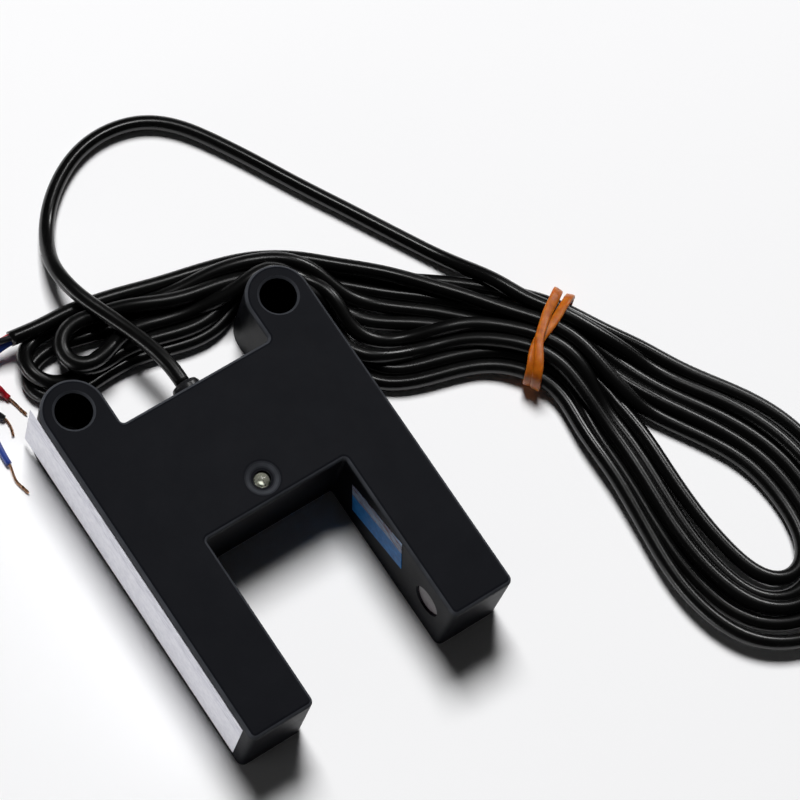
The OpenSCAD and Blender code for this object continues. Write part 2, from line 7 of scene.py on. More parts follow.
import bpy
import numpy as np
from mathutils import Matrix, Vector


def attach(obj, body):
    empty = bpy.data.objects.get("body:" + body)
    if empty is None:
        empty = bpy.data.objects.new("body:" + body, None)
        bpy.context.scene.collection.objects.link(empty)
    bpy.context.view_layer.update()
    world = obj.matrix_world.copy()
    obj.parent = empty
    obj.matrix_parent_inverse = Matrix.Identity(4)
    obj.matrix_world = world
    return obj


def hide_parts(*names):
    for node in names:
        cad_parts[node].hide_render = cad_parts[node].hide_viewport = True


MM = 0.001
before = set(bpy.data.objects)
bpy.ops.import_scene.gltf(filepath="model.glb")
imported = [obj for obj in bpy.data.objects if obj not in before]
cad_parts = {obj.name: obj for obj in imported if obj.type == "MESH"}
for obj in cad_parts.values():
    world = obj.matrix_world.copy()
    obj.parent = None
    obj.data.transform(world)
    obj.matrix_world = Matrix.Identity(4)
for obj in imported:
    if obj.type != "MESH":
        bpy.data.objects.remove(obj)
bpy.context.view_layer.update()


# ---- Camera: it stands where the photograph was taken from, with a long lens ----

CAMERA_AT = Vector((-179.287, -131.603, 603.095))
CAMERA_AHEAD = Vector((0.32886, 0.21052, -0.92061))
CAMERA_RIGHT = Vector((0.81498, -0.55579, 0.16403))
SENSOR_W = 36
# The focal length and the picture's width, both in picture points
FOCAL, PICTURE_W = 3500, 800


def place_camera():
    ahead = CAMERA_AHEAD.normalized()
    right = (CAMERA_RIGHT - ahead * CAMERA_RIGHT.dot(ahead)).normalized()
    up = right.cross(ahead)
    camera = bpy.data.objects.new("camera", bpy.data.cameras.new("camera"))
    camera.data.sensor_width = SENSOR_W
    camera.data.lens = SENSOR_W * FOCAL / PICTURE_W
    camera.data.clip_start, camera.data.clip_end = 0.01, 20
    turn = Matrix((right, up, -ahead)).transposed().to_4x4()
    camera.matrix_world = Matrix.Translation(CAMERA_AT * MM) @ turn
    bpy.context.scene.collection.objects.link(camera)
    bpy.context.scene.camera = camera


place_camera()


# ---- The cable's route ----
# The cable is one line of points. It leaves the bushing, makes a free loop, and then goes five
# times through a lobe in front of the rubber band and four times round the back of the housing.
# Its lanes are written down roughly, and relax_cable lays the strands beside and on each other.

CABLE_D = 2.9
# How far a layer of strands lies above the one below it, and the heights of their middles
LAYER = 2.5
LOW, MIDDLE, HIGH = CABLE_D / 2, CABLE_D / 2 + LAYER, CABLE_D / 2 + 2 * LAYER

# From the bushing round the free loop to the band
FREE = [
    [0, 27.2, 9.5], [0, 30.5, 9.5], [-0.6, 35, 9.0], [-2, 40.5, 8.1], [-4.2, 46.5, 7.6],
    [-6.3, 51.6, 7.5], [-7.2, 56, 7.1], [-6.8, 60.6, 5.2], [-5, 65, 2.9], [-2.1, 69.6, LOW],
    [1.1, 73.1, LOW], [4.7, 75.9, LOW], [8.9, 78.2, LOW], [13.9, 79.6, LOW], [19.5, 79.6, LOW],
    [24.5, 78.2, LOW], [28.2, 75.8, LOW], [31, 72.9, LOW], [33.4, 69.5, LOW], [37.6, 62.6, LOW],
    [43.5, 52, LOW], [49, 42.6, LOW], [54.3, 33.4, LOW], [58.1, 26.9, 1.9], [60.6, 22.6, 3.0],
    [63.4, 17.4, 4.5], [65.8, 12.8, 5.0],
]

# The band's place, the directions along the cable and across it there, and the two layers in it
BAND = np.array([65.8, 1.6])
BAND_TURN = math.radians(-54.8)
BAND_ALONG = np.array([math.cos(BAND_TURN), math.sin(BAND_TURN)])
BAND_ACROSS = np.array([-math.sin(BAND_TURN), math.cos(BAND_TURN)])
BAND_LOW, BAND_HIGH = 2.7, 5.2
# The room for strands inside the band: half its width across, its bottom and its top
BAND_ROOM, BAND_BOTTOM, BAND_TOP = 7.75, 1.1, 6.45

# The order in which the cable fills the lanes of the front lobe, 0 being the innermost, and each
# lane's place across the band and its layer there, on the lobe's right leg and on its left leg
ORDER = [3, 4, 2, 1, 0]
RIGHT_LEG = {4: (7.5, BAND_LOW), 3: (5.0, BAND_HIGH), 2: (4.5, BAND_LOW), 1: (1.5, BAND_LOW),
             0: (2.0, BAND_HIGH)}
LEFT_LEG = {4: (-7.5, BAND_LOW), 3: (-4.5, BAND_LOW), 2: (-4.0, BAND_HIGH), 1: (-1.0, BAND_HIGH),
            0: (-1.5, BAND_LOW)}
# The innermost lane of the lobe, and at each of its places the step from lane to lane and how far
# lanes 0, 2 and 4 ride up on the others
LOBE = np.array([
    [73.6, -16], [77.5, -23], [82, -30.5], [85.6, -38], [87, -46], [86.6, -53.5], [83.6, -59.4],
    [79.2, -61.6], [75.2, -60.2], [72.4, -54], [71.0, -46], [70.6, -38.5], [70.8, -31],
    [71.0, -24], [70.6, -17],
])
LOBE_STEPS = [2.3, 2.55, 2.8, 2.95, 2.95, 2.9, 2.9, 2.95, 3.0, 3.0, 2.75, 2.4, 2.2, 2.1, 2.1]
LOBE_RISE = [0.9, 0.6, 0, 0, 0, 0.6, 1.4, 1.9, 2.2, 2.3, 2.2, 2.0, 1.9, 1.6, 1.2]
# How far each lane strays sideways and up in a slow wave round the lobe, and where the wave starts
STRAYS = {0: (0.3, 0.5, 0.4), 1: (-0.7, 1.6, 1.9), 2: (0.8, 0.4, 3.4), 3: (-0.8, 1.9, 0.2),
          4: (-0.4, 0.6, 2.6)}
STRAY_SPAN = 4.4

# From the band round the housing's right side and behind the ears, by the lane they come from
AROUND = {
    4: [[51.5, 4.4, LOW], [46.5, 6.6, LOW], [39.8, 8.2, LOW], [33.8, 11.2, LOW], [30.3, 16.6, LOW],
        [29.8, 24, LOW], [29.2, 33, LOW], [23.4, 38.6, LOW], [17.6, 37.4, LOW], [13.4, 35.6, LOW],
        [8.6, 35.6, LOW], [2.5, 37.6, LOW], [-4.5, 39.4, LOW], [-13, 38.7, LOW]],
    3: [[54, 6.4, LOW], [48.5, 8.8, 1.9], [42, 9.9, 2.4], [36.4, 12, 2.0], [33.2, 16.6, LOW],
        [32.7, 23, LOW], [32.5, 30, LOW], [30.6, 36.8, LOW], [25.2, 41.2, LOW], [17.4, 40.0, LOW],
        [12, 38.5, LOW], [5, 39.6, LOW], [-3, 42.2, LOW], [-9, 42.2, 2.4], [-13, 40.6, MIDDLE]],
    2: [[56.4, 7, 4.4], [51, 10.2, 3.2], [45, 11.9, 2.4], [38.8, 12.6, 3.2], [34, 14.8, MIDDLE],
        [31.6, 19.6, MIDDLE], [31.2, 26, MIDDLE], [30.4, 34, MIDDLE], [24.6, 39.9, MIDDLE],
        [17.2, 38.4, MIDDLE], [11.6, 36.8, MIDDLE], [4, 38.6, MIDDLE], [-2, 40.6, MIDDLE],
        [-6, 40.6, MIDDLE]],
    1: [[59, 8.6, 4.6], [53.6, 12.4, 3.6], [46, 15.1, 2.0], [39, 17, 2.4], [35.2, 20.4, 3.6],
        [34.1, 25.6, MIDDLE], [33.4, 31, MIDDLE], [30, 37.6, 5.0], [24.2, 39.6, HIGH],
        [17, 39.8, 5.6], [9, 39.8, 4.4], [2, 41.4, 4.4], [-5, 41.8, 5.8]],
}
# Turns behind the left ear, by the same lane: the far point, the low and the high side, and the
# heights on the way round at TURN_ANGLES
TURNS = {
    4: (-22.9, 38.4, 48.6, (LOW, LOW, LOW, LOW, LOW, LOW)),
    3: (-21.8, 39.6, 51.4, (3.95, 3.95, 4.2, 4.3, 3.2, LOW)),
    2: (-14.8, 38.6, 49.6, (4.2, 4.1, 4.0, 4.0, 4.1, 4.2)),
    1: (-15.4, 38.6, 49.2, (6.5, 6.3, 6.1, 6.1, 6.2, 6.5)),
}
TURN_ANGLES = np.radians([260, 225, 190, 155, 120, 95])
# From the turns back to the band, by the lane that they go to
BACK = {
    4: [[-11, 50.6, LOW], [-4, 49.7, LOW], [8, 46.4, LOW], [20, 43.6, LOW], [30, 39.6, LOW],
        [39, 33.4, LOW], [47.5, 27.2, LOW], [56.9, 21, LOW], [62, 17, LOW], [66.5, 13.1, LOW]],
    2: [[-14, 47.6, LOW], [-5, 46.8, LOW], [8, 43.6, 2.4], [19, 42.4, MIDDLE], [29.5, 38.6, 3.4],
        [37, 32.4, LOW], [45, 25.4, LOW], [53, 18, LOW], [60, 11.4, LOW]],
    1: [[-8, 49.4, 4.2], [-1, 48.0, MIDDLE], [8, 44.8, 5], [19.5, 42.8, HIGH], [28.6, 39.6, 5.8],
        [33.6, 35, 5], [38, 29, 2.4], [44.5, 22.2, LOW], [51, 17, LOW], [58, 10.6, 1.9]],
    0: [[-5, 48.4, 6.5], [1.5, 46.2, HIGH], [9, 43, HIGH], [18.5, 41, HIGH], [27.2, 37.9, 5.8],
        [32, 32.5, 4.6], [35.2, 26.6, 2.4], [38.6, 22.0, LOW], [45, 18.6, LOW], [52, 14, LOW],
        [58.2, 8, 1.9]],
}
# From the band over the hank to the stripped end
END = [
    [60.4, 12.6, 4.9], [53.3, 21, 4.6], [43.5, 30.9, 4.3], [31.9, 38.5, 4.2], [25.7, 42.1, 4.2],
    [16.9, 45.7, 4.1], [7.2, 47.8, 4.1], [-2.7, 49.8, 4.2], [-9, 50.9, 4.3], [-15, 51.6, 4.3],
    [-21.2, 52.3, 4.3],
]

# The housing's outline where strands pass it: the ears, the bottom of the notch between them and
# the right side
EAR_X, EAR_Y, EAR_R = 22.1, 30.8, 6.2
NOTCH_Y, SIDE_X = 24.4, 28.3
# The first points of the line, which leave the housing through the bushing
AT_BUSHING = 14


def through_band(place, along):
    """Points of one strand in the band, from its place across and its height."""
    across, z = place
    return [[*(BAND + across * BAND_ACROSS + s * BAND_ALONG), z] for s in along]


def lobe_lane(lane):
    """One lane from the band down the lobe's right leg and back up its left leg to the band."""
    points = []
    side, rise, start = STRAYS[lane]
    for i, here in enumerate(LOBE):
        way = LOBE[min(i + 1, len(LOBE) - 1)] - LOBE[max(i - 1, 0)]
        way = way / np.linalg.norm(way)
        wave = math.sin(start + STRAY_SPAN * i / len(LOBE))
        out = LOBE_STEPS[i] * lane + side * wave
        x, y = here + np.array([-way[1], way[0]]) * out
        points.append([x, y, LOW + rise * max(wave, 0.0) + LOBE_RISE[i] * (lane % 2 == 0)])
    down = through_band(RIGHT_LEG[lane], (-6, 0, 6))
    return down + points + through_band(LEFT_LEG[lane], (6, 0, -6))


def back_turn(far_x, low_y, high_y, heights):
    """The half turn behind the left ear, from its low side round its far point to its high side."""
    r = (high_y - low_y) / 2
    return [[far_x + r + r * np.cos(a), low_y + r + r * np.sin(a), z]
            for a, z in zip(TURN_ANGLES, heights)]


def cable_lanes():
    """The whole cable's rough line, from the bushing to its stripped end."""
    points = [list(p) for p in FREE]
    for lane, following in zip(ORDER, ORDER[1:]):
        points += lobe_lane(lane) + AROUND[lane] + back_turn(*TURNS[lane]) + BACK[following]
    return np.array(points + lobe_lane(ORDER[-1])[::-1] + END, float)


# ---- Laying the cable ----

def smooth_line(points, step):
    """A centripetal Catmull-Rom curve through the points, in even steps."""
    ends = np.vstack([2 * points[0] - points[1], points, 2 * points[-1] - points[-2]])
    fine = []
    for p0, p1, p2, p3 in zip(ends, ends[1:], ends[2:], ends[3:]):
        t1 = np.linalg.norm(p1 - p0) ** 0.5
        t2 = t1 + np.linalg.norm(p2 - p1) ** 0.5
        t3 = t2 + np.linalg.norm(p3 - p2) ** 0.5
        for t in np.linspace(t1, t2, 12, endpoint=False):
            a1 = ((t1 - t) * p0 + t * p1) / t1
            a2 = ((t2 - t) * p1 + (t - t1) * p2) / (t2 - t1)
            a3 = ((t3 - t) * p2 + (t - t2) * p3) / (t3 - t2)
            b1 = ((t2 - t) * a1 + t * a2) / t2
            b2 = ((t3 - t) * a2 + (t - t1) * a3) / (t3 - t1)
            fine.append(((t2 - t) * b1 + (t - t1) * b2) / (t2 - t1))
    fine = np.array(fine + [points[-1]])
    at = np.concatenate([[0], np.cumsum(np.linalg.norm(np.diff(fine, axis=0), axis=1))])
    wanted = np.linspace(0, at[-1], int(round(at[-1] / step)) + 1)
    return np.stack([np.interp(wanted, at, fine[:, k]) for k in range(3)], 1)


def clear_housing(p):
    """Moves points out of the housing's right side and ears by the cable's radius."""
    r = CABLE_D / 2 + 0.05
    reach = EAR_R + r
    for ear_x in (EAR_X, -EAR_X):
        away = p[:, :2] - np.array([ear_x, EAR_Y])
        far = np.linalg.norm(away, axis=1)
        in_round = (far < reach) & (p[:, 1] > EAR_Y)
        out = away[in_round] / far[in_round][:, None]
        p[in_round, :2] += out * (reach - far[in_round])[:, None]
        in_neck = (np.abs(away[:, 0]) < reach) & (p[:, 1] <= EAR_Y) & (p[:, 1] > NOTCH_Y)
        p[in_neck, 0] = ear_x + np.sign(away[in_neck, 0]) * reach
    in_body = (p[:, 0] > 0) & (p[:, 0] < SIDE_X + r) & (p[:, 1] < EAR_Y)
    in_body[:AT_BUSHING] = False
    p[in_body, 0] = SIDE_X + r


def hold_in_band(p):
    """Keeps the points next to the band inside it."""
    reach_along, reach_across = 2.4, 12
    along = (p[:, :2] - BAND) @ BAND_ALONG
    across = (p[:, :2] - BAND) @ BAND_ACROSS
    inside = (np.abs(along) < reach_along) & (np.abs(across) < reach_across)
    p[inside, 2] = np.clip(p[inside, 2], BAND_BOTTOM + CABLE_D / 2, BAND_TOP - CABLE_D / 2)
    shift = np.clip(across[inside], -BAND_ROOM, BAND_ROOM) - across[inside]
    p[inside, :2] += shift[:, None] * BAND_ACROSS


def relax_cable(lanes, rounds=400):
    """Lays the strands on the floor, beside and on each other, smooth and near their lanes."""
    push_apart, fair, straighten, keep_even, sink = 0.45, 0.3, 0.04, 0.25, 0.012
    # The pull to the lanes in the first round, and how much of it is gone by the last
    pull_home, pull_fades = 0.06, 0.05
    # Pairs of strands are looked for every few rounds, a little further off than they touch. Points
    # that are next to each other along the cable, within so many diameters, are one strand.
    look_every, look_further, one_strand = 12, 1.6, 1.6
    p = lanes.copy()
    n = len(p)
    step = np.linalg.norm(np.diff(p, axis=0), axis=1).mean()
    index = np.arange(n)
    apart = np.abs(index[:, None] - index[None, :]) > math.ceil(CABLE_D * one_strand / step)
    # The free loop stays as it is drawn, and so does the end that the conductors leave
    held = np.zeros(n, bool)
    held[: np.linalg.norm(p - np.array(FREE[-5]), axis=1).argmin()] = True
    held[-4:] = True
    for k in range(rounds):
        if k % look_every == 0:
            square = (p * p).sum(1)
            distance = square[:, None] + square[None, :] - 2 * p @ p.T
            first, second = np.nonzero((distance < (CABLE_D + look_further) ** 2) & apart)
        gap = p[first] - p[second]
        size = np.linalg.norm(gap, axis=1) + 1e-9
        hit = size < CABLE_D
        push = push_apart * ((CABLE_D - size[hit]) / size[hit])[:, None] * gap[hit]
        moves = np.stack([np.bincount(first[hit], push[:, c], n) for c in range(3)], 1)
        p = p + moves / np.maximum(np.bincount(first[hit], minlength=n), 1)[:, None]
        even = (4 * (p[1:-3] + p[3:-1]) - (p[:-4] + p[4:])) / 6
        p[2:-2] += fair * (even - p[2:-2])
        p[1:-1] += straighten * ((p[:-2] + p[2:]) / 2 - p[1:-1])
        p += (pull_home - pull_fades * k / rounds) * (lanes - p)
        p[:, 2] -= sink
        span = p[1:] - p[:-1]
        size = np.linalg.norm(span, axis=1)[:, None]
        pull = keep_even * (size - step) * span / size
        p[:-1] += pull
        p[1:] -= pull
        clear_housing(p)
        p[:, 2] = np.maximum(p[:, 2], CABLE_D / 2)
        hold_in_band(p)
        p[held] = lanes[held]
    p[:, 2] = np.maximum(p[:, 2], CABLE_D / 2)
    return p


def lay_cable():
    """The cable's laid line, in steps of 1 mm."""
    line = relax_cable(smooth_line(cable_lanes(), 2.0))
    for _ in range(2):
        line[1:-1] = (line[:-2] + 2 * line[1:-1] + line[2:]) / 4
    return smooth_line(line, 1.0)


# ---- Meshes: each is a list of corners in metres and a list of faces ----

def tube_mesh(points, diameter, sides):
    """A closed tube along points."""
    p = np.asarray(points, float)
    way = np.gradient(p, axis=0)
    way /= np.linalg.norm(way, axis=1)[:, None]
    side = np.cross(way[0], [0, 0, 1.0]) if abs(way[0][2]) < 0.9 else np.array([1.0, 0, 0])
    r = diameter / 2
    verts, faces = [], []
    for here, w in zip(p, way):
        side = side - w * side.dot(w)
        side /= np.linalg.norm(side)
        other = np.cross(w, side)
        for k in range(sides):
            a = 2 * math.pi * k / sides
            verts.append((here + r * (math.cos(a) * side + math.sin(a) * other)) * MM)
    for i in range(len(p) - 1):
        for k in range(sides):
            a, b = i * sides + k, i * sides + (k + 1) % sides
            faces.append((a, b, b + sides, a + sides))
    faces.append(tuple(range(sides))[::-1])
    faces.append(tuple(range(len(p) * sides - sides, len(p) * sides)))
    return verts, faces


def turned(profile, at, sides=48):
    """A solid turned about an upright axis, from pairs of radius and height, bottom first."""
    verts = []
    for r, z in profile:
        for k in range(sides):
            a = 2 * math.pi * k / sides
            verts.append(Vector((at[0] + r * math.cos(a), at[1] + r * math.sin(a), z)) * MM)
    faces = []
    for i in range(len(profile) - 1):
        for k in range(sides):
            a, b = i * sides + k, i * sides + (k + 1) % sides
            faces.append((a, b, b + sides, a + sides))
    faces.append(tuple(range(sides))[::-1])
    faces.append(tuple(range(len(verts) - sides, len(verts))))
    return verts, faces


def block(low, high):
    """An upright block with its long edges taken off."""
    (x0, y0, z0), (x1, y1, z1) = low, high
    c = 0.12 * min(x1 - x0, y1 - y0)
    ring = [(x0 + c, y0), (x1 - c, y0), (x1, y0 + c), (x1, y1 - c),
            (x1 - c, y1), (x0 + c, y1), (x0, y1 - c), (x0, y0 + c)]
    verts = [Vector((x, y, z)) * MM for z in (z0, z1) for x, y in ring]
    faces = [(k, (k + 1) % 8, 8 + (k + 1) % 8, 8 + k) for k in range(8)]
    return verts, faces + [tuple(range(8))[::-1], tuple(range(8, 16))]


# The pieces made here, each with its material slot
own_pieces = []


def make_piece(name, parts, slot, nodes=()):
    """One piece of the part from its meshes, in place of CAD nodes. Only end caps stay flat."""
    verts, faces = [], []
    for corners, polygons in parts:
        faces += [tuple(len(verts) + k for k in polygon) for polygon in polygons]
        verts += list(corners)
    mesh = bpy.data.meshes.new(name)
    mesh.from_pydata(verts, [], faces)
    mesh.polygons.foreach_set("use_smooth", [len(f) <= 4 for f in faces])
    mesh.update()
    piece = bpy.data.objects.new(name, mesh)
    bpy.context.scene.collection.objects.link(piece)
    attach(piece, "root")
    if nodes:
        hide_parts(*nodes)
    own_pieces.append((piece, slot))
    return piece


# ---- The rubber band ----

# Seen along the cable, a turn of the band has a flat top and bottom, each twice RING_FLAT long,
# and two round ends. RING_Z is the height of its middle.
RING_FLAT, RING_R, RING_Z = 6.65, 3.2, 3.75
# The band's half width and half thickness
RUBBER_W, RUBBER_T = 0.95, 0.42
# By turns wound: the place along the cable, and how far the rubber rides over the other turn
WINDING = [
    (0, -0.9, 0), (0.03, -1.1, 0.1), (0.186, -1.7, 0.4), (0.3, -1.4, 0.88), (0.36, -0.3, 0.88),
    (0.43, 1.0, 0.6), (0.5, 1.7, 0.2), (0.6, 1.8, 0), (0.85, 1.6, 0),
    (1, 1.5, 0), (1.03, 1.5, 0), (1.186, 0.5, 0), (1.3, -1.1, 0), (1.36, -1.2, 0),
    (1.43, -0.6, 0), (1.5, -0.2, 0), (1.6, -0.1, 0), (1.85, -0.3, 0), (2, -0.9, 0),
]


def ring_place(turn):
    """The place across and up on a turn of the band, by the share of it, and the way out there."""
    end = math.pi * RING_R
    half = end + 2 * RING_FLAT
    along = (turn * 2 * half + end / 2) % (2 * half)
    # The second half of a turn is the first one, turned over
    sign = 1 if along < half else -1
    along %= half
    if along < end:
        a = along / RING_R - math.pi / 2
        out = (math.cos(a), math.sin(a))
        place = (RING_FLAT + RING_R * out[0], RING_R * out[1])
    else:
        out = (0.0, 1.0)
        place = (RING_FLAT - (along - end), RING_R)
    return [sign * v for v in (*place, *out)]


def rubber_band():
    """One closed rubber ring wound twice round the hank, its two turns crossing on top."""
    steps, sides = 220, 14
    key_turns, key_along, key_lift = zip(*WINDING)
    centre = np.array([*BAND, RING_Z])
    axis = np.array([*BAND_ALONG, 0.0])
    across = np.array([*BAND_ACROSS, 0.0])
    up = np.array([0, 0, 1.0])
    line, outs = [], []
    for i in range(steps):
        turn = 2.0 * i / steps
        u, v, out_u, out_v = ring_place(turn)
        along = np.interp(turn, key_turns, key_along) + 0.12 * math.sin(9 * turn)
        out = across * out_u + up * out_v
        lift = np.interp(turn, key_turns, key_lift)
        line.append(centre + across * u + up * v + axis * along + out * lift)
        outs.append(out)
    line = np.array(line)
    for _ in range(6):
        line = (np.roll(line, 1, 0) + 2 * line + np.roll(line, -1, 0)) / 4
    verts, faces = [], []
    for i in range(steps):
        way = line[(i + 1) % steps] - line[i - 1]
        way /= np.linalg.norm(way)
        out = outs[i] - way * outs[i].dot(way)
        out /= np.linalg.norm(out)
        side = np.cross(way, out)
        # The rubber leans and swells a little on its way round
        round_way = 2 * math.pi * i / steps
        lean = 0.22 * math.sin(round_way * 3 + 0.7)
        side, out = (side * math.cos(lean) + out * math.sin(lean),
                     out * math.cos(lean) - side * math.sin(lean))
        wide = RUBBER_W * (1 + 0.10 * math.sin(round_way * 5))
        # Its section is a rectangle with rounded corners
        for k in range(sides):
            a = 2 * math.pi * k / sides
            c, d = math.cos(a), math.sin(a)
            p = (side * wide * math.copysign(abs(c) ** 0.55, c)
                 + out * RUBBER_T * math.copysign(abs(d) ** 0.6, d))
            verts.append((line[i] + p) * MM)
    for i in range(steps):
        for k in range(sides):
            a, b = i * sides + k, i * sides + (k + 1) % sides
            faces.append((a, b, (b + sides) % len(verts), (a + sides) % len(verts)))
    return make_piece("band", [(verts, faces)], "amber_rubber", ["rubber_band"])


# ---- The indicator lamp ----

LAMP_AT, LAMP_BASE, LAMP_R = (0.0, 2.7), 12.1, 1.5
# Heights over the lamp's base: its flange's top and the start of its dome
FLANGE_TOP, DOME_START = 1.0, 3.8
# The height over the floor where the posts of its lead frame stand on the board
BOARD_TOP = 3.9


def indicator():
    """A 3 mm clear lamp: its moulded body, and in it the lead frame's cup, chip and posts."""

    def over_base(profile):
        return [(r, LAMP_BASE + z) for r, z in profile]

    dome = [(LAMP_R * math.cos(math.radians(a)), DOME_START + LAMP_R * math.sin(math.radians(a)))
            for a in range(0, 87, 6)]
    flange = [(1.84, 0), (1.9, 0.06), (1.9, FLANGE_TOP - 0.06), (1.84, FLANGE_TOP)]
    tip = (0.03, DOME_START + LAMP_R * 0.999)
    body = turned(over_base([*flange, (LAMP_R, FLANGE_TOP + 0.02), *dome, tip]), LAMP_AT)
    cup = turned(over_base([(0.34, 2.5), (0.5, 2.7), (0.92, 3.5), (0.95, 3.62), (0.85, 3.62),
                            (0.4, 3.1), (0.2, 3.08)]), LAMP_AT, 32)
    chip = block((-0.16, 2.54, LAMP_BASE + 3.0), (0.16, 2.86, LAMP_BASE + 3.26))
    posts = [block((x - 0.25, 2.45, BOARD_TOP), (x + 0.25, 2.95, LAMP_BASE + top))
             for x, top in ((-1.05, 2.9), (1.05, 3.2))]
    make_piece("indicator", [body], "clear_lens", ["indicator_lamp"])
    make_piece("indicator_frame", [cup, chip] + posts, "solder")


# ---- The three conductors ----
# They leave the jacket together and curl back beside the left ear, each to a bare twisted end.

WIRE_D = 1.2
WIRES = {
    "red": [[-19.9, 52.8, 4.0], [-21.6, 52.9, 3.9], [-24, 52.9, 3.2], [-26.6, 52.0, 1.8],
            [-28.2, 50.0, 1.2], [-28.1, 47.8, 2.0], [-27.4, 45.8, 1.9], [-26.8, 44.4, 0.7],
            [-26.5, 43.6, 0.6]],
    "black": [[-19.9, 52.15, 5.0], [-21.6, 52.3, 5.05], [-24.4, 53.0, 4.7], [-27.8, 53.8, 3.7],
              [-31, 53.0, 2.0], [-32.9, 50.6, 1.2], [-33.4, 47.6, 2], [-32.6, 44.8, 2.4],
              [-31.1, 43, 2.2], [-30, 41.7, 1.2], [-29.4, 40.8, 0.6]],
    "blue": [[-19.9, 51.6, 4.0], [-21.6, 51.8, 3.85], [-24.6, 51.6, 3.0], [-27.6, 49.7, 1.5],
             [-30.4, 46.2, 0.7], [-32.1, 42, 0.6], [-33, 37, 0.6], [-33.3, 33.5, 0.6],
             [-33.3, 32.7, 0.6]],
}
BARE_ENDS = {
    "red": [[-26.6, 43.8, 0.6], [-26.3, 43.07, 0.6], [-26, 42, 0.5], [-25.7, 40.6, 0.42],
            [-25.3, 39.3, 0.4]],
    "black": [[-29.5, 41.0, 0.6], [-29.2, 40.5, 0.55], [-29.1, 39.2, 0.42], [-29.3, 38.1, 0.42],
              [-29.7, 37, 0.4]],
    "blue": [[-33.3, 33.0, 0.6], [-33.3, 32.1, 0.6], [-33.7, 30.3, 0.45], [-33.8, 29, 0.42],
             [-33.4, 27.4, 0.4], [-33.1, 26.2, 0.4]],
}
# A fine strand's diameter, the step of its points and its middle's lowest height
STRAND_D, STRAND_STEP, STRAND_LOW = 0.16, 0.16, 0.12
# The length of one twist, how far a strand lies from the core strand, and how much further at the
# loose tip
TWIST, STRAND_OFF, LOOSE = 2.2, 0.15, 0.08


def twisted_end(route):
    """Fine strands laid round a core strand, loosening towards the tip."""
    core = smooth_line(np.array(route, float), STRAND_STEP)
    n = len(core)
    way = np.gradient(core, axis=0)
    way /= np.linalg.norm(way, axis=1)[:, None]
    side = np.cross(way, [0, 0, 1.0])
    side /= np.linalg.norm(side, axis=1)[:, None]
    other = np.cross(way, side)
    lines = [core]
    for k in range(6):
        turn = 2 * math.pi * (k / 6 + np.arange(n) * STRAND_STEP / TWIST)
        off = STRAND_OFF + LOOSE * (np.arange(n) / n) ** 3 * (1 + math.sin(2.4 * k))
        line = core + off[:, None] * (np.cos(turn)[:, None] * side + np.sin(turn)[:, None] * other)
        line[:, 2] = np.maximum(line[:, 2], STRAND_LOW)
        # The strands end unevenly
        lines.append(line[: n - (k * 5) % 4])
    return [tube_mesh(line, STRAND_D, 8) for line in lines]


def conductor(colour):
    line = smooth_line(np.array(WIRES[colour], float), 0.5)
    return make_piece(f"{colour}_wire", [tube_mesh(line, WIRE_D, 20)], f"{colour}_insulation",
                      [f"wire_{colour}"])


def bare_end(colour):
    return make_piece(f"{colour}_strands", twisted_end(BARE_ENDS[colour]), "bare_copper",
                      [f"bare_end_{colour}"])


wires = [conductor(colour) for colour in WIRES]
bare_ends = [bare_end(colour) for colour in BARE_ENDS]
indicator()
band = rubber_band()
cable_line = lay_cable()
cable = make_piece("cable", [tube_mesh(cable_line, CABLE_D, 20)], "black_jacket",
                   ["cable_free_run", "cable_hank_rear", "cable_hank_side", "cable_hank_front",
                    "cable_end_run"])


# ---- Materials: colours are written as they look, 0 to 255 ----

def linear(r, g, b):
    """Blender's linear value of a colour."""
    def one(v):
        v /= 255
        return v / 12.92 if v <= 0.04045 else ((v + 0.055) / 1.055) ** 2.4
    return (one(r), one(g), one(b), 1)


